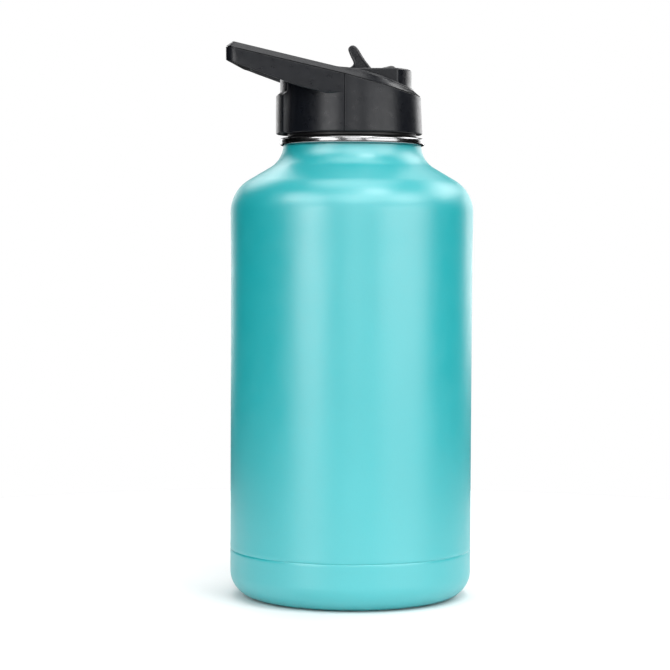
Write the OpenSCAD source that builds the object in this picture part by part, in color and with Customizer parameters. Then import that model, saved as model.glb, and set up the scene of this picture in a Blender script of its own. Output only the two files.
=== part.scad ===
// Insulated wide-mouth bottle with a screw lid, loop handle and flip straw spout.
// Frame: origin at the centre of the base on the standing surface, +Z up,
// handle towards -X, folded spout towards +X. Millimetres.

/* [Body] */
// Outside diameter of the straight body
body_d = 122; // [118:1:126]
// Height where the straight body ends and the flare to the shoulder begins
body_straight_z = 180; // [176:1:184]
// Radius added to the body by the flare below the shoulder
body_flare = 0.25; // [0:0.05:0.25]
// Height where the shoulder curve begins
shoulder_z = 194; // [193:0.5:195]
// Radius of the rounded shoulder
shoulder_r = 19; // [18:0.5:20]
// Slope of the shoulder above the horizontal, in degrees
shoulder_slope = 30.6; // [30:0.2:31]
// Radius of the hollow curve from shoulder to neck
neck_fillet = 13.5; // [13:0.5:14]
// Outside radius of the painted neck
neck_r = 34.8; // [34.6:0.1:35]
// Sheet thickness of the outer shell and base
sheet = 1.0; // [0.8:0.1:1.2]

/* [Base] */
// Radius of the rounded bottom corner
base_corner = 12.6; // [11:0.2:14]
// Height of the weld seam between shell and base
seam_z = 24; // [22:0.5:27]
// Depth of the recess under the base
base_recess = 2.5; // [2:0.1:3]
// Inner radius of the foot ring
foot_inner_r = 43; // [40:0.5:44]

/* [Inner flask] */
// Wall thickness of the inner flask
flask_wall = 0.8; // [0.6:0.1:1]
// Outside radius of the inner flask body
flask_r = 57.2; // [56:0.1:57.4]
// Underside of the inner flask's bottom
flask_bottom_z = 12; // [10:0.5:14]
// Inside radius of the mouth
mouth_r = 30.2; // [30.2:0.1:30.3]

/* [Lip] */
// Height where the paint ends and the bare lip bead begins
paint_top_z = 227.4; // [227.2:0.1:227.6]
// Top of the lip
lip_z = 231.4; // [231.4:0.1:231.5]
// Largest radius of the lip bead
bead_r = 36.65; // [36.4:0.05:36.8]

/* [Thread] */
// Lead of the single-start thread
lead = 4; // [3.8:0.1:4.2]
// How far the lid's ridge lies below the flask's ridge
thread_offset = 1.7; // [1.65:0.05:1.8]
// Radius of the threaded plug without its ridge
plug_r = 28.3; // [28:0.1:28.4]

/* [Lid] */
// Height of the skirt's lower edge
skirt_z = 233.2; // [233:0.1:233.4]
// Radius of the skirt at its lower edge
skirt_r = 35.4; // [35.2:0.1:35.6]
// Radius of the skirt and the loop at the top
loop_r = 34.5; // [34.3:0.1:34.7]
// Width of the loop's band
band_w = 4.5; // [4.3:0.1:4.6]
// Height of the rim at the lid's axis
rim_z = 261.5; // [261:0.1:262]
// Rise of the rim per millimetre towards the handle
handle_slope = 0.2355; // [0.22:0.005:0.25]
// Fall of the rim per millimetre towards the spout
front_slope = 0.27; // [0.25:0.01:0.28]
// Height of the bevel along the top of the loop
bevel_h = 3; // [2.8:0.1:3.2]

/* [Handle] */
// Distance from the axis to the handle's end
handle_reach = 60.1; // [58:0.1:62]
// Corner radius of the handle's end in plan
handle_corner = 6; // [5.5:0.5:7]

/* [Spout] */
// Position of the spout pivot along X
pivot_x = -3; // [-3.2:0.1:-2.8]
// Height of the spout pivot
pivot_z = 256.3; // [256.2:0.1:256.4]
// Rise of the folded spout, in degrees
spout_rise = 12.5; // [12:0.5:13.5]
// Distance from the pivot to the tip of the mouthpiece
spout_len = 27; // [26:0.5:27.5]
// Radius of the mouthpiece
mouthpiece_r = 6.5; // [6.3:0.1:6.6]
// Radius of the water bore
bore_r = 2.6; // [2.4:0.1:2.7]

/* [Straw] */
// Outside radius of the straw
straw_r = 3.9; // [3.7:0.1:4]
// Inside radius of the straw
straw_bore_r = 2.75; // [2.5:0.05:2.8]
// Height of the straw's lower end
straw_end_z = 18; // [16:1:30]

/* [Hidden] */
$fn = 96;
teal = [0.30, 0.76, 0.78];
steel = [0.80, 0.80, 0.79];
black = [0.10, 0.10, 0.11];
silicone = [0.16, 0.16, 0.17];
clear = [0.86, 0.88, 0.88];

body_r = body_d / 2;
flare_r = body_r + body_flare;
gap = 0.05;            // seat clearance between pieces of one body
plug_bottom_z = 208;
flange_z = 235.6;      // underside of the core's flange
ledge_z = 238.6;       // top of the flange, where the shell sits
deck_z = 252;          // floor of the side recesses
house_r = 29.7;        // round ends of the housing
house_w = 17.3;        // half width between the housing's flat walls
house_z = 265.6;       // top of the housing
pocket_w = 8;          // half width of the spout's pocket
hub_r = 7.2;
hub_w = 7.6;
pin_r = 2;
boss_r = 6.6;          // straw socket below the deck
vent_x = 14;

// Points of an arc, angles in degrees
function arc(cx, cz, r, a0, a1, n) =
    [for (i = [0 : n]) let (a = a0 + (a1 - a0) * i / n) [cx + r * cos(a), cz + r * sin(a)]];
function flip(p) = [for (i = [len(p) - 1 : -1 : 0]) p[i]];

// Shoulder and neck of a shell of revolution, t inside the painted surface
neck_run = (flare_r - shoulder_r + shoulder_r * sin(shoulder_slope))
    - (neck_r + neck_fillet - neck_fillet * sin(shoulder_slope));
neck_z = shoulder_z + shoulder_r * cos(shoulder_slope)
    + neck_run * tan(shoulder_slope) + neck_fillet * cos(shoulder_slope);
function shell_side(t) = concat(
    [[body_r - t, body_straight_z], [flare_r - t, shoulder_z - 2]],
    arc(flare_r - shoulder_r, shoulder_z, shoulder_r - t, 0, 90 - shoulder_slope, 10),
    arc(neck_r + neck_fillet, neck_z, neck_fillet + t, 270 - shoulder_slope, 184, 10),
    [[neck_r - t, paint_top_z]]);

// Outer painted shell, open at both ends
module outer_shell() {
    color(teal) rotate_extrude()
        polygon(concat(
            [[body_r - sheet, seam_z], [body_r - 0.35, seam_z], [body_r, seam_z + 0.35]],
            shell_side(0), flip(shell_side(sheet))));
}

// Pressed base welded to the shell at the seam
module base_cup() {
    cc = body_r - base_corner;
    color(teal) difference() {
        rotate_extrude()
            polygon(concat(
                [[0, base_recess], [foot_inner_r - 2, base_recess], [foot_inner_r, 0.4],
                 [foot_inner_r + 0.6, 0], [cc, 0]],
                arc(cc, base_corner, base_corner, -85, 0, 9),
                [[body_r, seam_z - 0.35], [body_r - 0.35, seam_z], [body_r - sheet, seam_z]],
                arc(cc, base_corner, base_corner - sheet, 0, -85, 9),
                [[foot_inner_r + 1, sheet], [foot_inner_r - 1.2, base_recess + sheet], [0, base_recess + sheet]]));
        // dimple and evacuation hole
        translate([0, 0, base_recess - 0.1]) cylinder(r = 6, h = 0.6);
        cylinder(r = 1.2, h = 10);
    }
}

// Solder disc that closes the evacuation hole
module vacuum_seal() {
    color(steel) translate([0, 0, base_recess - 0.3]) cylinder(r = 5.2, h = 0.8);
}

// Getter tablet on the inside of the base
module getter() {
    color(steel) translate([16, 0, base_recess + sheet]) cylinder(r = 5, h = 2.6);
}

// Helical ridge: radii root and crest, axial widths, swept over angle
function ridge_points(root, crest, wr, wc, z0, a0, n, step) =
    [for (i = [0 : n])
        let (a = a0 + i * step, z = z0 + lead * a / 360,
             f = min(1, 0.12 + 0.44 * min(i, n - i)),
             c = root + (crest - root) * f)
        each [[root * cos(a), root * sin(a), z - wr / 2],
              [c * cos(a), c * sin(a), z - (wc + (wr - wc) * (1 - f)) / 2],
              [c * cos(a), c * sin(a), z + (wc + (wr - wc) * (1 - f)) / 2],
              [root * cos(a), root * sin(a), z + wr / 2]]];
function ridge_faces(n, out) =
    let (sides = [for (i = [0 : n - 1], k = [0 : 3])
            let (a = 4 * i + k, b = 4 * i + (k + 1) % 4) each [[a, b, b + 4], [a, b + 4, a + 4]]],
         all = concat(sides, [[3, 2, 1], [3, 1, 0], [4 * n, 4 * n + 1, 4 * n + 2], [4 * n, 4 * n + 2, 4 * n + 3]]))
    out ? all : [for (f = all) [f[0], f[2], f[1]]];
module ridge(root, crest, wr, wc, z0, a0, n, step = 12) {
    polyhedron(ridge_points(root, crest, wr, wc, z0, a0, n, step), ridge_faces(n, crest > root));
}
thread_z = 219.4;

// Inner flask: liner, threaded mouth and rolled lip bead
function flask_side(r, t) = concat(
    arc(flask_r - 12, flask_bottom_z + 12, 12 - t, -90, 0, 6),
    arc(flask_r - 15.2, 189, 15.2 - t, 0, 90 - shoulder_slope, 8),
    arc(mouth_r + flask_wall + 6, 216.9, 6 + t, 270 - shoulder_slope, 180, 6));
module inner_flask() {
    color(steel) union() {
        rotate_extrude()
            polygon(concat(
                [[0, flask_bottom_z]], flask_side(flask_r, 0),
                [[mouth_r + flask_wall, paint_top_z], [neck_r + 0.1, paint_top_z], [35.7, 227.6]],
                [[36.4, 228.2], [bead_r, 229], [bead_r, 229.6], [36.35, 230.5], [35.7, 231.1], [34.9, lip_z],
                 [mouth_r + 1, lip_z], [mouth_r + 0.3, lip_z - 0.3], [mouth_r, lip_z - 1]],
                flip(flask_side(flask_r, flask_wall)), [[0, flask_bottom_z + flask_wall]]));
        ridge(mouth_r + 0.4, mouth_r - 1.3, 2.4, 0.9, thread_z, 0, 52);
    }
}

// Silicone ring between lip and lid
module mouth_gasket() {
    color(silicone) rotate_extrude()
        polygon([[plug_r + 0.35, 232.4], [29.6, 231.7], [31.6, 231.7], [32.4, 232.2],
                 [32.4, 234.6], [31.6, 235.3], [plug_r + 0.35, 235.3]]);
}

// Height of the rim above a point on X
function rim(x) = x < 0 ? rim_z - handle_slope * x : rim_z - front_slope * x;

// Plan of the lid's ring and loop, inset by o
module loop_plan(o) {
    circle(r = loop_r - o);
    translate([-(handle_reach - handle_corner), -(loop_r - o)]) square([handle_reach - handle_corner, 2 * (loop_r - o)]);
    translate([-(handle_reach - o), -(loop_r - handle_corner)]) square([handle_reach - o, 2 * (loop_r - handle_corner)]);
    for (s = [-1, 1]) translate([-(handle_reach - handle_corner), s * (loop_r - handle_corner)])
        circle(r = handle_corner - o);
}

// Prism along Y from a side outline in X and Z
module side_prism(w) {
    rotate([90, 0, 0]) linear_extrude(height = w, center = true) children();
}

// Skirt, rim and handle loop in one moulding
module lid_shell() {
    color(black) difference() {
        union() {
            // skirt and rim, cut to the sloping rim line
            intersection() {
                rotate_extrude()
                    polygon([[33.4, skirt_z], [skirt_r - 0.6, skirt_z], [skirt_r, skirt_z + 0.6], [loop_r, 250],
                             [loop_r, 275], [loop_r - band_w, 275], [loop_r - band_w, ledge_z],
                             [33.4, ledge_z]]);
                side_prism(90) polygon([[-45, skirt_z - 1], [45, skirt_z - 1], [45, rim(45)], [0, rim_z], [-45, rim_z]]);
            }
            // two arms and the end bar
            intersection() {
                translate([0, 0, 240]) linear_extrude(height = 45) difference() {
                    loop_plan(0);
                    loop_plan(band_w);
                }
                side_prism(90) polygon([[-70, rim(-70)], [0, rim_z], [0, 252.1], [-8.8, 251.9], [-16, 253.6],
                    [-23, 255.4], [-30, 257.9], [-55, 267.1], [-58, 268.2], [-70, 269.2]]);
            }
            // raised pad and back wall under the handle
            intersection() {
                rotate_extrude()
                    polygon([[33.4, skirt_z], [38, skirt_z], [38.6, skirt_z + 0.6], [38.6, 252.2], [36.5, 254],
                             [36.5, rim_z - 0.8], [35.9, rim_z], [loop_r - band_w, rim_z], [loop_r - band_w, ledge_z], [33.4, ledge_z]]);
                translate([0, 0, 230]) linear_extrude(height = 40)
                    polygon([[-10, 0], [-60 * cos(37), 60 * sin(37)], [-60, 0], [-60 * cos(37), -60 * sin(37)]]);
            }
        }
        // channel inside the band, open under the cover
        intersection() {
            translate([0, 0, 240]) linear_extrude(height = 50) difference() {
                loop_plan(1.5);
                loop_plan(band_w - 1.2);
            }
            side_prism(90) polygon([[-70, rim(-70) - 4.2], [0, rim_z - 4.2], [45, rim(45) - 4.2], [45, 290], [-70, 290]]);
        }
    }
}

// Outline of the loop, inset by o, as a ring of points from the handle's end
na = 24;
nc = 5;
function loop_points(o) = concat(
    arc(0, 0, loop_r - o, -90, 90, na),
    [for (i = [1 : 5]) [-(handle_reach - handle_corner) * i / 6, loop_r - o]],
    arc(-(handle_reach - handle_corner), loop_r - handle_corner, handle_corner - o, 90, 180, nc),
    arc(-(handle_reach - handle_corner), -(loop_r - handle_corner), handle_corner - o, 180, 270, nc),
    [for (i = [5 : -1 : 1]) [-(handle_reach - handle_corner) * i / 6, -(loop_r - o)]]);
// Section of the cover: inset and height above the rim
// The third value is the part of the inner lip's height that grows towards the front.
cover_section = [[0.25, 0, 0], [0.25, 0.35, 0], [band_w - 1, bevel_h, 0], [band_w - 0.8, bevel_h, 0.8], [band_w, bevel_h, 0.8], [band_w, 0, 0]];
function front(x) = min(1, max(0, (x + 6) / 9));

// Bevelled cover that closes the band's channel
module handle_cover() {
    rings = [for (s = cover_section) loop_points(s[0])];
    n = len(rings[0]);
    m = len(cover_section);
    pts = [for (k = [0 : m - 1], i = [0 : n - 1])
        [rings[k][i][0], rings[k][i][1], rim(rings[k][i][0]) + cover_section[k][1]
            + cover_section[k][2] * front(rings[k][i][0])]];
    faces = [for (k = [0 : m - 1], i = [0 : n - 1])
        let (a = k * n + i, b = k * n + (i + 1) % n, c = ((k + 1) % m) * n + i, d = ((k + 1) % m) * n + (i + 1) % n)
        each [[a, c, d], [a, d, b]]];
    color(black) polyhedron(pts, faces);
}

// Housing for the spout, deck, flange and threaded plug
module lid_core() {
    color(black) difference() {
        union() {
            difference() {
                union() {
                    translate([0, 0, flange_z]) cylinder(r = 33.2, h = ledge_z - gap - flange_z);
                    translate([0, 0, flange_z]) cylinder(r = house_r, h = deck_z - flange_z);
                    intersection() {
                        translate([0, 0, deck_z - 1]) cylinder(r = house_r, h = house_z - deck_z + 1);
                        translate([-40, -house_w, deck_z - 1]) cube([80, 2 * house_w, 40]);
                    }
                    translate([0, 0, plug_bottom_z]) cylinder(r = plug_r, h = flange_z - plug_bottom_z);
                }
                // hollow of the plug
                translate([0, 0, plug_bottom_z - 1]) cylinder(r = plug_r - 2, h = 240 - plug_bottom_z + 1);
            }
            // straw socket and vent tube
            translate([pivot_x, 0, plug_bottom_z - 4]) cylinder(r = boss_r, h = 241 - plug_bottom_z + 4);
            translate([vent_x, 0, plug_bottom_z + 2.1]) cylinder(r = 3, h = 241 - plug_bottom_z - 2.1);
            ridge(plug_r - 0.5, plug_r + 1.5, 2.6, 0.9, thread_z - thread_offset, 48, 45);
        }
        // pocket for the spout and its thumb tab
        side_prism(2 * pocket_w) polygon([[-25.8, 258.5], [-8, 258.5], [pivot_x, pivot_z],
            [pivot_x + 6, pivot_z - 6.6], [25.8, 253.4], [25.8, 290], [-25.8, 290]]);
        translate([pivot_x, 0, pivot_z]) rotate([90, 0, 0]) cylinder(r = hub_r + 0.5, h = 2 * pocket_w, center = true);
        // pin bores through both walls
        translate([pivot_x, 0, pivot_z]) rotate([90, 0, 0]) cylinder(r = pin_r, h = 80, center = true);
        // seat of the spout seal, water bore and straw socket
        translate([pivot_x, 0, 245]) cylinder(r = 5 + gap, h = 10);
        translate([pivot_x, 0, 238]) cylinder(r = bore_r, h = 10);
        translate([pivot_x, 0, plug_bottom_z - 5]) cylinder(r = straw_r + 0.9, h = 239 - plug_bottom_z + 5);
        // vent bore
        translate([vent_x, 0, 205]) cylinder(r = 1.2, h = 60);
    }
}

// Insulating foam inside the plug
module plug_foam() {
    color([0.9, 0.88, 0.8]) difference() {
        translate([0, 0, plug_bottom_z + 2.2]) cylinder(r = plug_r - 2.1, h = 239.8 - plug_bottom_z - 2.2);
        translate([pivot_x, 0, 200]) cylinder(r = boss_r + 0.1, h = 50);
        translate([vent_x, 0, 200]) cylinder(r = 3.1, h = 50);
    }
}

// Bottom of the plug, pressed into it
module plug_cup() {
    color(black) difference() {
        union() {
            translate([0, 0, plug_bottom_z - 2]) cylinder(r = plug_r, h = 2);
            translate([0, 0, plug_bottom_z - 1]) cylinder(r = plug_r - 2 - gap, h = 3);
        }
        translate([pivot_x, 0, 200]) cylinder(r = boss_r + gap, h = 50);
        translate([vent_x, 0, 200]) cylinder(r = 1.6, h = 50);
    }
}

// Pair of stub pins that carry the spout
module pivot_pins() {
    color(steel) for (s = [-1, 1])
        translate([pivot_x, s * 5.2, pivot_z]) rotate([-90 * s, 0, 0]) cylinder(r = pin_r, h = house_w - 5.4);
}

// Silicone seat under the spout's hub
module spout_seal() {
    color(silicone) difference() {
        translate([pivot_x, 0, 245]) cylinder(r = 5, h = 6);
        translate([pivot_x, 0, pivot_z]) rotate([90, 0, 0]) cylinder(r = hub_r + 0.3, h = 20, center = true);
        translate([pivot_x, 0, 240]) cylinder(r = bore_r, h = 20);
    }
}

// Silicone sleeve that grips the straw in its socket
module straw_grommet() {
    color(silicone) translate([pivot_x, 0, 0]) rotate_extrude()
        polygon([[straw_r, 202.8], [straw_r + 1.6, 202.8], [straw_r + 1.6, plug_bottom_z - 4], [straw_r + 0.85, plug_bottom_z - 4],
                 [straw_r + 0.85, 228], [straw_r, 228]]);
}

// Straw, from the socket almost to the flask's bottom
module straw() {
    color(clear) difference() {
        translate([pivot_x, 0, straw_end_z]) cylinder(r = straw_r, h = 238.9 - straw_end_z);
        translate([pivot_x, 0, straw_end_z - 1]) cylinder(r = straw_bore_r, h = 260);
        // slanted lower end
        translate([pivot_x, 0, straw_end_z]) rotate([0, 35, 0]) translate([-15, -10, -12]) cube([30, 20, 12]);
    }
}

// Duckbill valve that lets air in as water leaves
module vent_valve() {
    color(silicone) translate([vent_x, 0, 0]) difference() {
        union() {
            translate([0, 0, plug_bottom_z - 3.2]) cylinder(r = 4, h = 1.2);
            translate([0, 0, plug_bottom_z - 2.2]) cylinder(r = 1.55, h = 4.2);
            translate([-0.6, -2.2, plug_bottom_z - 8]) cube([1.2, 4.4, 5]);
            translate([0, 0, plug_bottom_z - 5.2]) cylinder(r = 2.4, h = 2.2);
        }
        translate([0, 0, plug_bottom_z - 4]) cylinder(r = 0.8, h = 10);
        translate([-0.15, -1.2, plug_bottom_z - 9]) cube([0.3, 2.4, 6]);
    }
}

// Place children on the folded spout's axis, +X along it
module on_spout() {
    translate([pivot_x, 0, pivot_z]) rotate([0, -spout_rise, 0]) children();
}

// Flip spout: hub, barrel and thumb tab
module spout() {
    color(black) difference() {
        union() {
            translate([pivot_x, 0, pivot_z]) rotate([90, 0, 0]) cylinder(r = hub_r, h = 2 * hub_w, center = true);
            on_spout() rotate([0, 90, 0]) cylinder(r = 5.4, h = 20);
            // web between hub and tab
            side_prism(10) polygon([[-1.6, 262], [-1, 266.3], [1, 268.2], [7.2, 269], [9, 266.9], [9, 265.9], [7.5, 265.4], [7.5, 259], [0, 257]]);
            // curved thumb tab
            side_prism(13) polygon([[-1.8, 265.6], [-1, 266.6], [0.2, 267.3], [0.9, 268], [1, 268.8], [0.6, 269.9],
                [-0.1, 271.4], [-1, 273.4], [-1.6, 275.1], [-1.6, 276.1], [-1.1, 277.1], [-0.1, 277.7], [1, 277.7],
                [2.1, 277.1], [3.3, 275.2], [4.5, 273.15], [5.9, 271.1], [7.4, 269.2], [9.4, 266.9], [9.4, 265.9], [7.5, 265.6]]);
        }
        on_spout() translate([-10, 0, 0]) rotate([0, 90, 0]) cylinder(r = bore_r, h = 40);
        for (s = [-1, 1]) translate([pivot_x, s * 5, pivot_z]) rotate([-90 * s, 0, 0]) cylinder(r = pin_r + 0.05, h = 10);
    }
}

// Silicone mouthpiece stretched over the barrel
module mouthpiece() {
    e = spout_len;
    color(silicone) on_spout() rotate([0, 90, 0]) rotate_extrude()
        polygon(concat([[5.45, 12.6], [mouthpiece_r - 0.5, 12.6], [mouthpiece_r, 13.2]],
            [[mouthpiece_r, e - 4]], arc(mouthpiece_r - 3.3, e - 3.3, 3.3, 10, 90, 5),
            [[bore_r, e], [bore_r, 20.05], [5.45, 20.05]]));
}

outer_shell();
base_cup();
inner_flask();
getter();
vacuum_seal();
mouth_gasket();
lid_shell();
handle_cover();
lid_core();
plug_foam();
plug_cup();
pivot_pins();
spout_seal();
straw_grommet();
straw();
vent_valve();
spout();
mouthpiece();
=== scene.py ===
import math
import bpy
import numpy as np
from mathutils import Matrix, Vector


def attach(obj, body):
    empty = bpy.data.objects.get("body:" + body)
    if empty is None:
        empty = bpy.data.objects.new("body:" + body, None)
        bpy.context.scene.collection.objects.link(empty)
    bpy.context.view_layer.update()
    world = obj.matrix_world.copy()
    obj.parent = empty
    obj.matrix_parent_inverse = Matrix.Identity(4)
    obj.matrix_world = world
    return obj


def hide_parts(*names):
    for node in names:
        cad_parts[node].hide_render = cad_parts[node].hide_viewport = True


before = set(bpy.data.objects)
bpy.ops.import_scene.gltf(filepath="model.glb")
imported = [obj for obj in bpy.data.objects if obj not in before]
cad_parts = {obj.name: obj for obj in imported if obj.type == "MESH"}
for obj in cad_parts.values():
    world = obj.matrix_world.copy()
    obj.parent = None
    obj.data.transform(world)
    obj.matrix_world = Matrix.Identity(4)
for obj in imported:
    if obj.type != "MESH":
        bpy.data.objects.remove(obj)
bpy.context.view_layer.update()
MM = 0.001
scene = bpy.context.scene

# ---------------------------------------------------------------- helpers


def arc(cx, cz, r, a0, a1, n):
    return [
        (cx + r * math.cos(math.radians(a0 + (a1 - a0) * i / n)),
         cz + r * math.sin(math.radians(a0 + (a1 - a0) * i / n)))
        for i in range(n + 1)
    ]


def lerp(x, pts):
    """Piecewise linear value at x through the points (x, value), x rising."""
    return float(np.interp(x, [p[0] for p in pts], [p[1] for p in pts]))


def round_poly(corners, rnd=4):
    """Closed outline with rounded corners; corners are (x, y, radius). Every corner gives rnd + 1 points."""
    out = []
    n = len(corners)
    for i, (x, y, r) in enumerate(corners):
        p = np.array([x, y], float)
        a = np.array(corners[i - 1][:2], float) - p
        b = np.array(corners[(i + 1) % n][:2], float) - p
        la, lb = np.linalg.norm(a), np.linalg.norm(b)
        if r <= 0 or la < 1e-9 or lb < 1e-9:
            out += [tuple(p)] * (rnd + 1)
            continue
        a, b = a / la, b / lb
        half = math.acos(max(-1, min(1, float(a @ b)))) / 2
        if half > math.radians(89.9):
            out += [tuple(p)] * (rnd + 1)
            continue
        t = min(r / math.tan(half), 0.48 * la, 0.48 * lb)
        rr = t * math.tan(half)
        c = p + (a + b) / np.linalg.norm(a + b) * (rr / math.sin(half))
        v0, v1 = p + a * t - c, p + b * t - c
        ang0 = math.atan2(v0[1], v0[0])
        d = math.atan2(v1[1], v1[0]) - ang0
        while d > math.pi:
            d -= 2 * math.pi
        while d < -math.pi:
            d += 2 * math.pi
        for k in range(rnd + 1):
            w = ang0 + d * k / rnd
            out.append((c[0] + rr * math.cos(w), c[1] + rr * math.sin(w)))
    return out


class Solid:
    """Vertices in millimetres and faces of one or more closed shells."""

    def __init__(self):
        self.v, self.f, self.n = [], [], 0

    def add(self, verts, faces):
        verts = np.asarray(verts, float)
        tri = [(f[0], f[i], f[i + 1]) for f in faces for i in range(1, len(f) - 1)]
        t = verts[np.array(tri)]
        vol = np.einsum("ij,ij->i", t[:, 0], np.cross(t[:, 1], t[:, 2])).sum()
        if vol < 0:
            faces = [tuple(reversed(f)) for f in faces]
        self.v.append(verts)
        self.f += [tuple(i + self.n for i in f) for f in faces]
        self.n += len(verts)
        return self

    def loft(self, rings, closed=True):
        """Rings of equally many points, closed on themselves; capped at the ends unless closed."""
        m, n = len(rings[0]), len(rings)
        verts = [p for r in rings for p in r]
        faces = []
        for i in range(n if closed else n - 1):
            j = (i + 1) % n
            for k in range(m):
                l = (k + 1) % m
                faces.append((i * m + k, i * m + l, j * m + l, j * m + k))
        if not closed:
            faces.append(tuple(range(m - 1, -1, -1)))
            faces.append(tuple((n - 1) * m + k for k in range(m)))
        return self.clean(verts, faces)

    def clean(self, verts, faces):
        """Merges equal neighbours so that no face has no area."""
        verts = np.asarray(verts, float)
        key, back = np.unique(np.round(verts, 5), axis=0, return_inverse=True)
        out = []
        for f in faces:
            g = []
            for i in f:
                j = int(back[i])
                if not g or g[-1] != j:
                    g.append(j)
            if len(g) > 1 and g[0] == g[-1]:
                g.pop()
            if len(g) > 2 and len(set(g)) == len(g):
                out.append(tuple(g))
        return self.add(key, out)

    def lathe(self, profile, seg=192, x=0.0, y=0.0):
        """Closed outline of (r, z) turned about a vertical axis."""
        rings = []
        for i in range(seg):
            a = 2 * math.pi * i / seg
            rings.append([(x + r * math.cos(a), y + r * math.sin(a), z) for r, z in profile])
        return self.loft(rings)

    def obj(self, name, mat, sharp=40):
        mesh = bpy.data.meshes.new(name)
        mesh.from_pydata((np.concatenate(self.v) * MM).tolist(), [], self.f)
        mesh.validate()
        mesh.polygons.foreach_set("use_smooth", [True] * len(mesh.polygons))
        mesh.set_sharp_from_angle(angle=math.radians(sharp))
        mesh.materials.append(mat)
        mesh.update()
        o = bpy.data.objects.new(name, mesh)
        scene.collection.objects.link(o)
        return o


# Distance fields, in millimetres
def smax(a, b, r):
    return np.minimum(-r, np.maximum(a, b)) + np.hypot(np.maximum(a + r, 0), np.maximum(b + r, 0))


def smin(a, b, r):
    return np.maximum(r, np.minimum(a, b)) - np.hypot(np.maximum(r - a, 0), np.maximum(r - b, 0))


def poly_sdf(px, pz, pts):
    """Signed distance to a closed polygon."""
    px, pz = np.broadcast_arrays(px, pz)
    d = np.full(px.shape, 1e9)
    s = np.ones(px.shape)
    n = len(pts)
    for i in range(n):
        ax, az = pts[i]
        bx, bz = pts[i - 1]
        ex, ez = bx - ax, bz - az
        wx, wz = px - ax, pz - az
        t = np.clip((wx * ex + wz * ez) / (ex * ex + ez * ez), 0, 1)
        qx, qz = wx - ex * t, wz - ez * t
        d = np.minimum(d, qx * qx + qz * qz)
        c1, c2, c3 = pz >= az, pz < bz, ex * wz > ez * wx
        s = np.where((c1 & c2 & c3) | (~c1 & ~c2 & ~c3), -s, s)
    return s * np.sqrt(d)


def surface_net(f, lo, hi, h):
    """Closed mesh of f = 0 with its exact normals."""
    ax = [np.arange(lo[i], hi[i] + h, h) for i in range(3)]
    D = np.asarray(f(ax[0][:, None, None], ax[1][None, :, None], ax[2][None, None, :]), np.float64)
    D = np.broadcast_to(D, tuple(len(a) for a in ax))
    S = D < 0
    c = np.zeros(tuple(n - 1 for n in S.shape), np.int8)
    corners = [(i, j, k) for i in (0, 1) for j in (0, 1) for k in (0, 1)]
    for i, j, k in corners:
        c += S[i:i + c.shape[0], j:j + c.shape[1], k:k + c.shape[2]]
    act = (c > 0) & (c < 8)
    idx = np.full(act.shape, -1, np.int64)
    I, J, K = np.nonzero(act)
    idx[I, J, K] = np.arange(len(I))
    pos = np.zeros((len(I), 3))
    cnt = np.zeros(len(I))
    for a in corners:
        for axis in range(3):
            if a[axis]:
                continue
            b = list(a)
            b[axis] = 1
            da = D[I + a[0], J + a[1], K + a[2]]
            db = D[I + b[0], J + b[1], K + b[2]]
            m = (da < 0) != (db < 0)
            t = np.where(m, da / np.where(m, da - db, 1), 0)
            p = np.array(a, float)[None, :].repeat(len(I), 0)
            p[:, axis] += t
            pos[m] += p[m]
            cnt += m
    pos = (pos / cnt[:, None] + np.stack([I, J, K], 1)) * h + np.array([a[0] for a in ax])

    def grad(p):
        e = 0.02
        g = np.stack([
            f(p[:, 0] + e, p[:, 1], p[:, 2]) - f(p[:, 0] - e, p[:, 1], p[:, 2]),
            f(p[:, 0], p[:, 1] + e, p[:, 2]) - f(p[:, 0], p[:, 1] - e, p[:, 2]),
            f(p[:, 0], p[:, 1], p[:, 2] + e) - f(p[:, 0], p[:, 1], p[:, 2] - e)], 1) / (2 * e)
        return g
    for _ in range(3):
        g = grad(pos)
        step = f(pos[:, 0], pos[:, 1], pos[:, 2]) / np.maximum((g * g).sum(1), 0.2)
        pos -= np.clip(step, -0.4 * h, 0.4 * h)[:, None] * g
    g = grad(pos)
    normals = g / np.maximum(np.linalg.norm(g, axis=1), 1e-9)[:, None]
    faces = []
    for axis in range(3):
        o1, o2 = [i for i in range(3) if i != axis]
        sl = [slice(None)] * 3
        a, b = list(sl), list(sl)
        a[axis], b[axis] = slice(0, -1), slice(1, None)
        A, B = S[tuple(a)], S[tuple(b)]
        cross = A != B
        E = np.stack(np.nonzero(cross), 1)
        ok = (E[:, o1] > 0) & (E[:, o2] > 0) & (E[:, o1] < S.shape[o1] - 1) & (E[:, o2] < S.shape[o2] - 1)
        E = E[ok]
        inside = A[tuple(E.T)]
        q = []
        for d1, d2 in ((1, 1), (0, 1), (0, 0), (1, 0)):
            C = E.copy()
            C[:, o1] -= d1
            C[:, o2] -= d2
            q.append(idx[tuple(C.T)])
        q = np.stack(q, 1)
        turn = inside if axis != 1 else ~inside
        q[~turn] = q[~turn][:, ::-1]
        faces.append(q)
    faces = np.concatenate(faces)
    faces = faces[(faces >= 0).all(1)]
    return pos, faces, normals


def field_obj(name, f, lo, hi, h, mat):
    v, fc, n = surface_net(f, lo, hi, h)
    mesh = bpy.data.meshes.new(name)
    t = v[fc[:, :3]]
    vol = np.einsum("ij,ij->i", t[:, 0], np.cross(t[:, 1], t[:, 2])).sum()
    if vol < 0:
        fc = fc[:, ::-1]
    mesh.from_pydata((v * MM).tolist(), [], fc.tolist())
    mesh.polygons.foreach_set("use_smooth", [True] * len(mesh.polygons))
    mesh.materials.append(mat)
    mesh.update()
    mesh.normals_split_custom_set_from_vertices([tuple(x) for x in n])
    o = bpy.data.objects.new(name, mesh)
    scene.collection.objects.link(o)
    return o


# ---------------------------------------------------------------- materials


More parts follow.
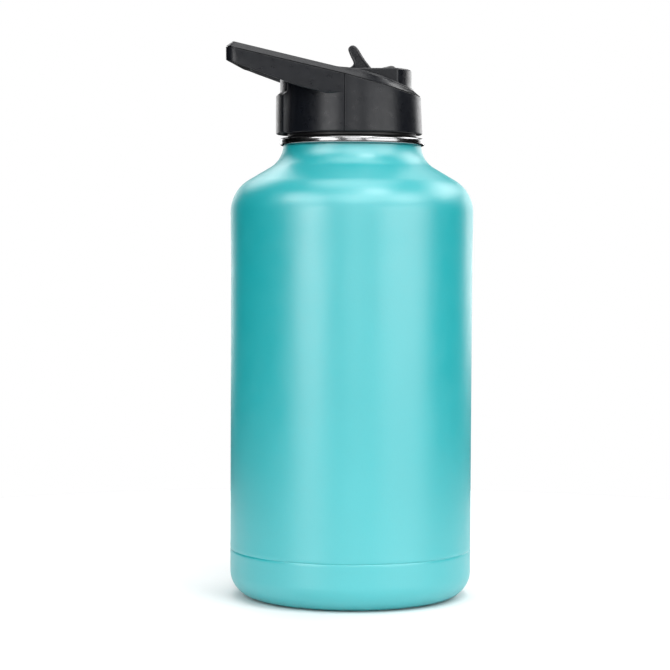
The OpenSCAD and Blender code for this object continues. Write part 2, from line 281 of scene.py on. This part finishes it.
def material(name, base, rough, metallic=0.0, specular=0.5, coat=0.0, coat_rough=0.3,
             vary=0.06, vary_scale=60.0, grain=900.0, grain_depth=0.012, rough_vary=0.06,
             tint=None, stretch=None, alpha=None, transmission=0.0, ior=1.5, sheen=0.0):
    m = bpy.data.materials.new(name)
    m.use_nodes = True
    nt = m.node_tree
    nt.nodes.clear()
    out = nt.nodes.new("ShaderNodeOutputMaterial")
    b = nt.nodes.new("ShaderNodeBsdfPrincipled")
    nt.links.new(b.outputs["BSDF"], out.inputs["Surface"])
    b.inputs["Metallic"].default_value = metallic
    b.inputs["Specular IOR Level"].default_value = specular
    b.inputs["Coat Weight"].default_value = coat
    b.inputs["Coat Roughness"].default_value = coat_rough
    b.inputs["IOR"].default_value = ior
    b.inputs["Transmission Weight"].default_value = transmission
    if sheen:
        b.inputs["Sheen Weight"].default_value = sheen
        b.inputs["Sheen Roughness"].default_value = 0.5
    if alpha is not None:
        b.inputs["Alpha"].default_value = alpha
    tc = nt.nodes.new("ShaderNodeTexCoord")
    coord = tc.outputs["Object"]
    if stretch:
        mp = nt.nodes.new("ShaderNodeMapping")
        mp.inputs["Scale"].default_value = stretch
        nt.links.new(coord, mp.inputs["Vector"])
        coord = mp.outputs["Vector"]

    def noise(scale, detail=2.0, rough_=0.5):
        n = nt.nodes.new("ShaderNodeTexNoise")
        n.inputs["Scale"].default_value = scale
        n.inputs["Detail"].default_value = detail
        n.inputs["Roughness"].default_value = rough_
        nt.links.new(coord, n.inputs["Vector"])
        return n.outputs["Fac"]

    # colour: slow variation and fine grain between two close shades
    big, small = noise(vary_scale, 3.0), noise(grain * 1.7, 1.0)
    mix = nt.nodes.new("ShaderNodeMath")
    mix.operation = "MULTIPLY_ADD"
    nt.links.new(small, mix.inputs[0])
    mix.inputs[1].default_value = 0.35
    nt.links.new(big, mix.inputs[2])
    ramp = nt.nodes.new("ShaderNodeValToRGB")
    ramp.color_ramp.elements[0].position = 0.45
    ramp.color_ramp.elements[1].position = 0.9
    dark = tint if tint else [c * (1 - vary) for c in base]
    light = [min(1, c * (1 + vary)) for c in base]
    ramp.color_ramp.elements[0].color = (*dark, 1)
    ramp.color_ramp.elements[1].color = (*light, 1)
    nt.links.new(mix.outputs[0], ramp.inputs["Fac"])
    nt.links.new(ramp.outputs["Color"], b.inputs["Base Color"])
    # roughness
    mr = nt.nodes.new("ShaderNodeMapRange")
    mr.inputs["From Min"].default_value = 0.3
    mr.inputs["From Max"].default_value = 0.7
    mr.inputs["To Min"].default_value = max(0.02, rough - rough_vary)
    mr.inputs["To Max"].default_value = min(1, rough + rough_vary)
    nt.links.new(noise(vary_scale * 4, 4.0, 0.6), mr.inputs["Value"])
    nt.links.new(mr.outputs["Result"], b.inputs["Roughness"])
    # moulded or sprayed grain
    if grain_depth:
        fine = noise(grain, 2.0, 0.6)
        bump = nt.nodes.new("ShaderNodeBump")
        bump.inputs["Strength"].default_value = 1.0
        bump.inputs["Distance"].default_value = grain_depth * MM
        nt.links.new(fine, bump.inputs["Height"])
        nt.links.new(bump.outputs["Normal"], b.inputs["Normal"])
        if coat:
            nt.links.new(bump.outputs["Normal"], b.inputs["Coat Normal"])
    return m


TEAL = material("powder_coat_teal", (0.005, 0.357, 0.385), 0.375, specular=0.75, ior=1.8, vary=0.025,
                vary_scale=25, grain=1000, grain_depth=0.030, rough_vary=0.03)
STEEL = material("polished_steel", (0.34, 0.34, 0.345), 0.20, metallic=1.0, vary=0.04, vary_scale=200,
                 grain=1800, grain_depth=0.002, rough_vary=0.04)
STEEL_DULL = material("dull_steel", (0.62, 0.61, 0.60), 0.32, metallic=1.0, vary=0.08, vary_scale=300,
                      grain=2500, grain_depth=0.006, rough_vary=0.08)
BLACK = material("black_polypropylene", (0.0042, 0.0050, 0.0072), 0.31, specular=0.36, vary=0.12, vary_scale=80,
                 grain=1100, grain_depth=0.030, rough_vary=0.05)
BLACK_SPOUT = material("black_spout_plastic", (0.0042, 0.0050, 0.0072), 0.29, specular=0.40, vary=0.12, vary_scale=90,
                       grain=1500, grain_depth=0.016, rough_vary=0.04)
SOFT = material("black_mouthpiece_silicone", (0.008, 0.008, 0.009), 0.5, specular=0.25, vary=0.1, vary_scale=120,
                grain=2600, grain_depth=0.01, rough_vary=0.05)
RUBBER = material("black_gasket_silicone", (0.010, 0.010, 0.011), 0.42, specular=0.45, vary=0.1, vary_scale=150,
                  grain=2400, grain_depth=0.008, rough_vary=0.05)
STRAW = material("translucent_straw", (0.86, 0.88, 0.88), 0.22, specular=0.5, vary=0.02, vary_scale=40,
                 grain=600, grain_depth=0.006, rough_vary=0.04, alpha=0.55)
FOAM = material("closed_cell_foam", (0.80, 0.76, 0.64), 0.9, specular=0.2, vary=0.1, vary_scale=250,
                grain=900, grain_depth=0.15, rough_vary=0.05)

# ---------------------------------------------------------------- dimensions

body_r, seam_z, sheet = 61.0, 24.0, 1.0
flare_r, shoulder_r, shoulder_z, slope = 61.3, 19.0, 194.0, 30.6
neck_r, neck_fillet, paint_top = 34.8, 13.5, 227.4
loop_r, band_w, reach, corner = 34.5, 4.5, 60.1, 6.0
pivot = (-3.0, 256.3)
sn, cs, tn = (fn(math.radians(slope)) for fn in (math.sin, math.cos, math.tan))
neck_run = (flare_r - shoulder_r + shoulder_r * sn) - (neck_r + neck_fillet - neck_fillet * sn)
neck_z = shoulder_z + shoulder_r * cs + neck_run * tn + neck_fillet * cs


def rim(x):
    return 261.5 - 0.2355 * x if x < 0 else 261.5 - 0.27 * x


# ---------------------------------------------------------------- body


def shell_side(t, n):
    end = 180 + math.degrees(math.asin((neck_z - paint_top) / neck_fillet))
    flare = [(body_r - t + 0.3 * (u * u * (3 - 2 * u)), 168 + 26 * u) for u in [i / n for i in range(n)]]
    return (flare + arc(flare_r - shoulder_r, shoulder_z, shoulder_r - t, 0, 90 - slope, n * 2)
            + arc(neck_r + neck_fillet, neck_z, neck_fillet + t, 270 - slope, end, n * 2))


# weld seam: a shallow groove between two faint swells
outer = [(body_r - sheet, seam_z), (body_r - 0.26, seam_z), (body_r - 0.18, seam_z + 0.10),
         (body_r - 0.04, seam_z + 0.32), (body_r + 0.04, seam_z + 0.65), (body_r + 0.07, seam_z + 1.3),
         (body_r + 0.06, seam_z + 2.2), (body_r + 0.03, seam_z + 3.6), (body_r, seam_z + 5)]
outer += [(body_r, z) for z in range(32, 166, 6)] + shell_side(0, 14)
outer += [(neck_r - 0.12, paint_top + 0.05), (neck_r - sheet, paint_top + 0.05)]
outer += list(reversed(shell_side(sheet, 5))) + [(body_r - sheet, 90)]
shell = Solid().lathe(outer, 256).obj("outer_shell_painted", TEAL)
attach(shell, "bottle")
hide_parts("outer_shell")

cc = body_r - 12.6
cup = [(0, 2.5), (2, 2.5), (5.6, 2.5), (6.0, 2.9), (6.4, 2.5), (38, 2.5), (40.2, 2.4)] + arc(41.2, 0.9, 1.5, 75, 20, 4)
cup += [(43.2, 0.25), (43.8, 0.03), (44.4, 0), (46.4, 0), (cc, 0.0)] + arc(cc, 12.6, 12.6, -88, 0, 26)
cup += [(body_r, 15), (body_r, 19), (body_r + 0.02, seam_z - 3.6), (body_r + 0.06, seam_z - 2.2),
        (body_r + 0.07, seam_z - 1.3), (body_r + 0.04, seam_z - 0.65), (body_r - 0.04, seam_z - 0.32),
        (body_r - 0.18, seam_z - 0.10), (body_r - 0.26, seam_z), (body_r - sheet, seam_z)]
cup += arc(cc, 12.6, 11.6, 0, -88, 12) + [(44.2, 1.0), (41.8, 3.4), (20, 3.5), (0, 3.5)]
base = Solid().lathe(cup, 256).obj("base_cup_painted", TEAL)
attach(base, "bottle")
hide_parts("base_cup")

# inner flask with the rolled lip and the female thread


def flask_side(r, t, n):
    return (arc(57.2 - 12, 24, 12 - t, -90, 0, n) + arc(57.2 - 15.2, 189, 15.2 - t, 0, 90 - slope, n)
            + arc(30.2 + 0.8 + 6, 216.9, 6 + t, 270 - slope, 180, n))


bead = []
for i in range(33):
    a = math.radians(-90 + 180 * i / 32)
    c_, s_ = math.cos(a), math.sin(a)
    bead.append((34.7 + 1.95 * abs(c_) ** (2 / 2.7), 229.45 + 1.95 * math.copysign(abs(s_) ** (2 / 2.7), s_)))
flask = [(0, 12)] + flask_side(57.2, 0, 12)
flask += [(31.0, 224), (31.0, 227.35), (34.2, 227.35)] + bead + [(33.4, 231.4), (31.6, 231.4)]
flask += arc(31.2, 230.4, 1.0, 90, 180, 6) + list(reversed(flask_side(57.2, 0.8, 12))) + [(0, 12.8)]
lip = Solid().lathe(flask, 192)


def ridge(solid, root, crest, wr, wc, z0, a0, n, step):
    rings = []
    for i in range(n * 2 + 1):
        a = math.radians(a0 + i * step / 2)
        z = z0 + 4 * math.degrees(a) / 360
        g = min(1, 0.12 + 0.44 * min(i, 2 * n - i) / 2)
        c = root + (crest - root) * g
        w = wc + (wr - wc) * (1 - g)
        pts = [(root, z - wr / 2), ((root + c) / 2, z - (wr + w) / 4 - 0.08), (c, z - w / 2),
               (c + (crest - root) * 0.05, z), (c, z + w / 2), ((root + c) / 2, z + (wr + w) / 4 + 0.08), (root, z + wr / 2)]
        rings.append([(r * math.cos(a), r * math.sin(a), zz) for r, zz in pts])
    solid.loft(rings, closed=False)


ridge(lip, 30.6, 29.0, 2.4, 0.9, 219.4, 0, 52, 12)
lip = lip.obj("inner_flask_steel", STEEL)
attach(lip, "bottle")
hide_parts("inner_flask")

# ---------------------------------------------------------------- lid: plan path and sections


def plan_path():
    """Stations round the loop from the middle of the end bar: (x, y, outward x, outward y)."""
    st = []
    for i in range(8):
        st.append((-reach, (loop_r - corner) * i / 8, -1, 0))
    for i in range(13):
        a = math.radians(180 - 90 * i / 12)
        st.append((-(reach - corner) + corner * math.cos(a), loop_r - corner + corner * math.sin(a), math.cos(a), math.sin(a)))
    xs = list(np.linspace(-(reach - corner), -1.3, 40))[1:] + [-1.0, -0.8, -0.65, -0.55, -0.45, -0.35, -0.25, -0.1, -0.002]
    for x in xs:
        st.append((x, loop_r, 0, 1))
    n = 80
    for i in range(n + 1):
        a = math.radians(90 - 90 * i / n)
        st.append((loop_r * math.cos(a), loop_r * math.sin(a), math.cos(a), math.sin(a)))
    back = [(x, -y, nx, -ny) for x, y, nx, ny in st[1:-1]]
    return st + back[::-1]


def seam(x):
    return 0.38 * math.exp(-(((x + 0.5) / 0.17) ** 2))


ARM = [(-70, 269.3), (-60.1, 268.7), (-57.5, 268.0), (-54.5, 266.9), (-30, 257.9), (-22.8, 255.3), (-15.9, 253.6), (-8.8, 251.9), (0, 252.3)]


def arm_bottom(x):
    return sum(lerp(x + d, ARM) for d in (-1.2, -0.4, 0.4, 1.2)) / 4 if x < -1.3 else lerp(x, ARM)


def shell_section(x):
    top = rim(x)
    if x >= 0:
        c = [(-0.9, 233.2, 1.1), (0.0, 250.0, 6), (0, top - 0.4, 0.2), (0.75, top - 0.4, 0.1), (0.75, top - 0.7, 0), (band_w, top - 0.7, 0.2),
             (band_w, 238.6, 0.1), (1.1, 238.6, 0.1), (1.1, 233.2, 0.2)]
    else:
        b = arm_bottom(x)
        soft = 0.45 + max(0.0, x + 8.8) * 0.55
        c = [(0.0, b, soft), (0.0, (b + top) / 2, 0), (0, top - 0.4, 0.2), (0.75, top - 0.4, 0.1), (0.75, top - 0.7, 0), (band_w, top - 0.7, 0.2),
             (band_w, b, 0.8), (3.0, b, 0), (1.7, b, 0)]
    pts = round_poly(c, 5)
    g = seam(x)
    return [(t + (g if t < 0.3 else 0), z) for t, z in pts]


stations = plan_path()


def place(st, sec):
    x, y, nx, ny = st
    return [(x - nx * t, y - ny * t, z) for t, z in sec]


lid = Solid()
lid.loft([place(s, shell_section(s[0])) for s in stations])

# back half of the skirt, under and behind the arms
rings = []
angles = sorted(set([90, 270] + [90 + d for d in (0.17, 0.42, 0.58, 0.75, 0.83, 0.91, 1.08, 1.33, 1.66, 2.2)]
                    + [270 - d for d in (0.17, 0.42, 0.58, 0.75, 0.83, 0.91, 1.08, 1.33, 1.66, 2.2)]
                    + list(np.linspace(93, 267, 100))))
for a in angles:
    ca, sa = math.cos(math.radians(a)), math.sin(math.radians(a))
    sec = round_poly([(35.4, 233.2, 1.1), (34.5, 250.0, 6), (34.46, 261.5, 0.5), (30, 261.5, 0.5), (30, 238.6, 0.1), (33.4, 238.6, 0.1), (33.4, 233.2, 0.2)], 5)
    g = seam(34.5 * ca)
    rings.append([((r - (g if r > 34.2 else 0)) * ca, (r - (g if r > 34.2 else 0)) * sa, z) for r, z in sec])
lid.loft(rings, closed=False)

# raised pad at the back, with rounded side edges
rings = []
PAD = [(33.2, 233.25, 0.1), (38.6, 233.25, 0.9), (38.6, 252.3, 0.5), (36.5, 254.0, 0.5), (36.5, 261.56, 0.6), (33.7, 261.56, 0.2)]
end, rr = 33.3, 0.6
marks = [(-end + math.degrees(rr * (1 - math.sin(w)) / 38), rr * (1 - math.cos(w))) for w in [math.radians(90 * (1 - k / 5)) for k in range(6)]]
marks = sorted(marks, key=lambda q: q[0])
marks = [(-end, rr)] + [(-end + math.degrees(rr * (1 - math.cos(w)) / 38), rr * (1 - math.sin(w))) for w in [math.radians(15 * k) for k in range(1, 7)]]
stops = marks + [(d, 0.0) for d in np.linspace(-31, 31, 32)] + [(-d, o) for d, o in marks[::-1]]
for d, off in stops:
    ca, sa = math.cos(math.radians(180 + d)), math.sin(math.radians(180 + d))
    sec = round_poly([(r - (off if r > 34 else 0), z - (off if z > 255 else 0), q) for r, z, q in PAD], 4)
    rings.append([(r * ca, r * sa, z) for r, z in sec])
lid.loft(rings, closed=False)
lid = lid.obj("lid_shell_moulded", BLACK, 33)
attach(lid, "lid")
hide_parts("lid_shell")

# bevelled cover on the band
CREST = [(-64, 3.15), (0, 2.7), (4, 3.0), (8, 3.45), (14, 3.75), (20, 3.7), (25, 3.35), (30, 3.0), (35, 2.9)]


def cover_section(x):
    top = rim(x)
    h = (lerp(x - 1.5, CREST) + lerp(x + 1.5, CREST)) / 2
    u = min(1, max(0, (x + 6) / 9))
    u = u * u * (3 - 2 * u)
    up = 0.95 * u
    c = [(0.8, top - 0.65, 0), (0.8, top + 0.12, 0.1), (0.25, top + 0.14, 0.08), (0.4, top + 0.32, 0.1), (3.45, top + h, 0.3), (3.62, top + h - 0.25 * u, 0.05),
         (3.78, top + h + up, 0.28), (band_w, top + h + up, 0.28), (band_w, top - 0.65, 0)]
    return round_poly(c, 4)


def place_cover(st, sec):
    """As place, with the end bar and its corners held to the slope of the arms."""
    x, nx = st[0], st[2]
    return [(px, py, z + (rim(x - nx * t) - rim(x) if x < -50 else 0)) for (px, py, z), (t, _) in zip(place(st, sec), sec)]


cover = Solid()
cover.loft([place_cover(s, cover_section(s[0])) for s in stations])
cover = cover.obj("handle_cover_bevelled", BLACK, 38)
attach(cover, "lid")
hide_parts("handle_cover")

# ---------------------------------------------------------------- lid core: housing, deck, flange, threaded plug

POCKET = [(-25.8, 258.5), (-8, 258.5), (pivot[0], pivot[1]), (pivot[0] + 6, pivot[1] - 6.6), (25.8, 253.4), (25.8, 290), (-25.8, 290)]


def housing(x, y, z):
    r = np.sqrt(x * x + y * y)
    plan = smax(r - 29.7, np.abs(y) - 17.3, 0.55)
    d = smax(plan, z - 265.6, 0.9)
    d = smax(d, 250.0 - z, 0.3)
    deck = smax(r - 29.7, np.maximum(z - 252.0, 250.0 - z), 0.35)
    d = smin(d, deck, 0.6)
    slot = smax(poly_sdf(x, z, POCKET), np.abs(y) - 8.0, 0.8)
    hub = np.maximum(np.sqrt((x - pivot[0]) ** 2 + (z - pivot[1]) ** 2) - 7.7, np.abs(y) - 8.0)
    d = smax(d, -np.minimum(slot, hub), 0.55)
    pin = np.sqrt((x - pivot[0]) ** 2 + (z - pivot[1]) ** 2) - 2.0
    return np.maximum(d, -np.maximum(pin, np.abs(y) - 17.15))


core_top = field_obj("lid_core_housing", housing, (-31, -31, 249), (31, 31, 267), 0.34, BLACK)
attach(core_top, "lid")

low = Solid()
low.lathe([(0, 248.2), (13.6, 248.2), (13.6, 250.4), (29.0, 250.4), (29.7, 250.4), (29.7, 238.6), (33.0, 238.5), (33.2, 238.3), (33.2, 235.8), (33.0, 235.6), (28.3, 235.6),
           (28.3, 208.4), (27.9, 208), (26.3, 208), (26.3, 240), (0, 240)], 160)
ridge(low, 27.8, 29.8, 2.6, 0.9, 217.7, 48, 45, 12)
rings = []
low.lathe([(4.8, 204), (6.4, 204), (6.6, 204.3), (6.6, 241), (4.8, 241)], 64, x=pivot[0])
low.lathe([(1.2, 210.1), (3, 210.1), (3, 241), (1.2, 241)], 48, x=14)
low = low.obj("lid_core_plug", BLACK, 35)
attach(low, "lid")
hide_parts("lid_core")
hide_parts("lid_core")

# ---------------------------------------------------------------- flip spout

c15, s15 = math.cos(math.radians(12.5)), math.sin(math.radians(12.5))
FIN = [(-2.6, 262.5), (-2.3, 265.7), (-1.2, 266.6), (0.0, 267.25), (0.75, 267.9), (1.05, 268.7), (0.8, 269.7), (-0.1, 271.4),
       (-1.0, 273.4), (-1.65, 275.1), (-1.7, 276.0), (-1.2, 277.0), (-0.3, 277.7), (0.9, 277.8), (1.9, 277.35), (2.55, 276.5),
       (3.35, 275.2), (4.5, 273.25), (5.9, 271.15), (7.4, 269.25), (9.0, 267.3), (9.4, 266.6), (9.2, 265.8), (7.4, 263.5), (2, 259)]


def spout_field(x, y, z):
    qx, qz = x - pivot[0], z - pivot[1]
    u = qx * c15 + qz * s15          # along the barrel
    v = -qx * s15 + qz * c15
    hub = smax(np.sqrt(qx * qx + qz * qz) - 7.2, np.abs(y) - 7.6, 0.7)
    barrel = np.maximum(np.sqrt(v * v + y * y) - 5.4, np.maximum(u - 20, -u))
    fin = poly_sdf(x, z, FIN)
    half = np.interp(z, [262, 266, 268, 273, 276.5, 279], [5.0, 6.2, 6.5, 6.5, 6.3, 5.6])
    fin = smax(fin, np.abs(y) - half, 0.75)
    # soft hollow in the sides of the tab, inside a raised border
    inner = smax(poly_sdf(x, z, FIN) + 0.85, 6.2 - np.abs(y), 0.3)
    fin = smax(fin, -(inner + 0.0), 0.25)
    d = smin(smin(hub, barrel, 1.0), fin, 0.9)
    bore = np.maximum(np.sqrt(v * v + y * y) - 2.6, -(u + 10))
    pin = np.maximum(np.sqrt(qx * qx + qz * qz) - 2.05, 5.0 - np.abs(y))
    return np.maximum(np.maximum(d, -bore), -pin)


spout = field_obj("flip_spout_body", spout_field, (-11.5, -8.6, 248), (18.5, 8.6, 279.5), 0.26, BLACK_SPOUT)
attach(spout, "flip_spout")
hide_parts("spout")


def mouth_field(x, y, z):
    qx, qz = x - pivot[0], z - pivot[1]
    u = qx * c15 + qz * s15
    v = -qx * s15 + qz * c15
    rr_ = np.sqrt(v * v + y * y)
    rad = 6.5 - 0.22 * np.exp(-(((u - 15.3) / 1.5) ** 2))
    d = smax(rr_ - rad, u - 27.0, 3.2)
    d = smax(d, 12.6 - u, 0.5)
    d = smax(d, -smax(rr_ - 2.6, -(u - 20), 0.0), 0.6)
    d = np.maximum(d, -np.maximum(rr_ - 5.4, u - 20))
    return d


mouth = field_obj("mouthpiece_soft", mouth_field, (7.5, -7.6, 250.5), (26, 7.6, 271.5), 0.24, SOFT)
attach(mouth, "flip_spout")
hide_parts("mouthpiece")

# ---------------------------------------------------------------- carried-over CAD nodes

CAD_LOOKS = {
    "getter": STEEL_DULL, "vacuum_seal": STEEL_DULL, "mouth_gasket": RUBBER, "plug_foam": FOAM, "plug_cup": BLACK,
    "pivot_pins": STEEL_DULL, "spout_seal": RUBBER, "straw_grommet": RUBBER, "straw": STRAW, "vent_valve": RUBBER,
}
for n, m in CAD_LOOKS.items():
    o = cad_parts[n]
    o.data.materials.clear()
    o.data.materials.append(m)

# ---------------------------------------------------------------- floor, lights, camera

floor_v, floor_f = [(0, 0, -0.0002)], []
N = 96
RINGS = (0.08, 0.12, 0.2, 0.3, 0.45)
for r in RINGS:
    for i in range(N):
        a = 2 * math.pi * i / N
        floor_v.append((r * math.cos(a), r * math.sin(a), -0.0002))
for i in range(N):
    j = (i + 1) % N
    floor_f.append((0, 1 + i, 1 + j))
    for k in range(len(RINGS) - 1):
        p, q = 1 + k * N, 1 + (k + 1) * N
        floor_f.append((p + i, q + i, q + j, p + j))
fm = bpy.data.meshes.new("floor")
fm.from_pydata(floor_v, [], floor_f)
FLOOR = material("pale_floor", (0.86, 0.86, 0.86), 0.7, specular=0.2, vary=0.01, vary_scale=3, grain=40, grain_depth=0)
fm.materials.append(FLOOR)
floor = bpy.data.objects.new("floor", fm)
scene.collection.objects.link(floor)

ALPHA = math.radians(5.5)


def toward_camera(phi):
    """Unit direction from the bottle's axis at angle phi from the camera's side, positive to the right."""
    a = ALPHA - math.pi / 2 + math.radians(phi)
    return Vector((math.cos(a), math.sin(a), 0))


def softbox(name, phi, dist, z, width, height, power, aim_z=0.13):
    light = bpy.data.lights.new(name, "AREA")
    light.shape = "RECTANGLE"
    light.size, light.size_y = width, height
    light.energy = power
    o = bpy.data.objects.new(name, light)
    scene.collection.objects.link(o)
    p = toward_camera(phi) * dist
    o.location = (p.x, p.y, z)
    o.rotation_mode = "QUATERNION"
    o.rotation_quaternion = (Vector((0, 0, aim_z)) - o.location).to_track_quat("-Z", "Y")
    o.visible_camera = False
    return o


# large softboxes round the bottle, in an upper and a lower row
PANELS = [
    # name, angle from the camera's side, centre height, width, height of the panel, power
    ("upper_left", -50, 1.05, 1.00, 0.6, 8.5),
    ("upper_front", 10, 1.05, 1.10, 0.6, 5.8),
    ("upper_right", 59, 1.05, 0.85, 0.6, 7.0),
    ("upper_right_back", 123, 1.05, 1.30, 0.6, 8.5),
    ("upper_left_back", -152, 1.05, 0.80, 0.6, 4.2),
    ("lower_left", -37, 0.27, 0.65, 0.5, 4.4),
    ("lower_front", 3, 0.27, 0.50, 0.5, 1.9),
    ("lower_right", 48, 0.27, 1.20, 0.5, 6.0),
    ("lower_right_back", 150, 0.30, 0.75, 0.5, 2.9),
    ("lower_left_back", -157, 0.27, 0.45, 0.5, 1.6),
]
for name, phi, z, wide, tall, power in PANELS:
    softbox(name, phi, 1.25, z, wide, tall, power, 0.15)

for name, where, size, power in (("overhead", (0, 0, 1.8), 1.2, 11.0), ("shoulder_key", (0.50, -0.62, 1.42), 0.32, 4.0), ("overhead_back", (-0.1, 1.2, 1.4), 1.0, 7.0), ("overhead_front", (0.1, -1.2, 1.5), 0.8, 3.5)):
    lamp = bpy.data.lights.new(name, "AREA")
    lamp.shape, lamp.size, lamp.energy = "SQUARE", size, power
    lamp_o = bpy.data.objects.new(name, lamp)
    lamp_o.location = where
    lamp_o.rotation_mode = "QUATERNION"
    lamp_o.rotation_quaternion = (Vector((0, 0, 0.15)) - lamp_o.location).to_track_quat("-Z", "Y")
    lamp_o.visible_camera = False
    scene.collection.objects.link(lamp_o)

world = bpy.data.worlds.new("studio")
scene.world = world
world.use_nodes = True
wn = world.node_tree
wn.nodes.clear()
wo = wn.nodes.new("ShaderNodeOutputWorld")
seen, lit, path, mixer = (wn.nodes.new(t) for t in ("ShaderNodeBackground", "ShaderNodeBackground", "ShaderNodeLightPath", "ShaderNodeMixShader"))
seen.inputs["Color"].default_value = (1, 1, 1, 1)
seen.inputs["Strength"].default_value = 1.0
lit.inputs["Color"].default_value = (1, 1, 1, 1)
lit.inputs["Strength"].default_value = 0.0
wn.links.new(path.outputs["Is Camera Ray"], mixer.inputs["Fac"])
wn.links.new(lit.outputs[0], mixer.inputs[1])
wn.links.new(seen.outputs[0], mixer.inputs[2])
wn.links.new(mixer.outputs[0], wo.inputs["Surface"])

scene.view_settings.view_transform = "Standard"
scene.view_settings.look = "None"
scene.view_settings.exposure = 0
scene.view_settings.gamma = 1

# camera: the photograph's viewpoint
pitch, yaw, roll = math.radians(2.61301), math.radians(-0.44196), math.radians(0.26169)
fwd = Vector((math.sin(yaw) * math.cos(pitch), math.cos(yaw) * math.cos(pitch), -math.sin(pitch)))
right = Vector((math.cos(yaw), -math.sin(yaw), 0))
up = right.cross(fwd)
r_ = math.cos(roll) * right + math.sin(roll) * up
u_ = -math.sin(roll) * right + math.cos(roll) * up
spin = Matrix.Rotation(ALPHA, 3, "Z")
r_, u_, fwd = spin @ r_, spin @ u_, spin @ fwd
cam_data = bpy.data.cameras.new("camera")
cam_data.sensor_width = 36
cam_data.lens = 113.435
cam_data.clip_start, cam_data.clip_end = 0.05, 50
cam = bpy.data.objects.new("camera", cam_data)
m = Matrix.Identity(4)
for i in range(3):
    m[i][0], m[i][1], m[i][2] = r_[i], u_[i], -fwd[i]
loc = spin @ Vector((0, -1.070, 0.180858))
m[0][3], m[1][3], m[2][3] = loc
cam.matrix_world = m
scene.collection.objects.link(cam)
scene.camera = cam
